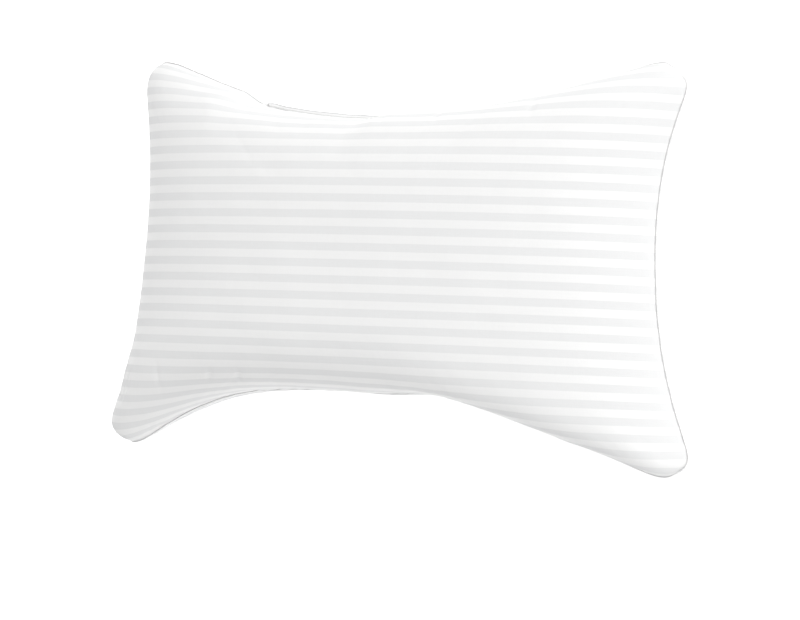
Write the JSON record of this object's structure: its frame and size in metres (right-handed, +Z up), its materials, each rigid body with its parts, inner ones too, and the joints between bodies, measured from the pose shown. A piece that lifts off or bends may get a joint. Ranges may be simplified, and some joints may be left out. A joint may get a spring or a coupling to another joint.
{
  "type": "bed pillow",
  "caption": "Plump king-size bed pillow: striped ticking cover with knife-edge seam and pulled-in sides, lying on its back, crown sinks under load.",
  "frame": {"origin": "middle of the pillow's outline, at the level of the flat patch it rests on", "axes": "+X along the length, +Y across the width towards the side with the closing seam, +Z up through the crown"},
  "size_m": [0.9144, 0.508, 0.19],
  "materials": {
    "striped_ticking": "white woven cotton-blend ticking, 10 mm satin stripes beside 10 mm plain stripes along the length",
    "sewing_thread": "white polyester sewing thread, twisted, slight sheen",
    "overlock_thread": "white textured overlock thread, matt",
    "fibre_core": "white polyester fibre, dense, matt",
    "fibre_wrap": "white carded polyester fibre web, fluffy, matt"
  },
  "bodies": {
    "lying_half": {"cover_bottom_panel": "striped_ticking", "fill_lower_wrap": "fibre_wrap", "fill_core_batt": "fibre_core", "seam_thread": "sewing_thread", "overlock_thread": "overlock_thread", "closing_lip": "striped_ticking", "closing_topstitch": "sewing_thread", "closing_bartacks": "sewing_thread"},
    "crown_half": {"cover_top_panel": "striped_ticking", "fill_upper_wrap": "fibre_wrap"}
  },
  "joints": [
    {"name": "crown_press", "type": "slide", "parent": "lying_half", "child": "crown_half", "axis": [0, 0, -1], "range_m": [0, 0.075], "stiffness_N_per_m": 600, "springref_m": -0.02, "deforming": ["cover_top_panel", "fill_upper_wrap", "fill_core_batt", "fill_lower_wrap", "cover_bottom_panel"]}
  ]
}
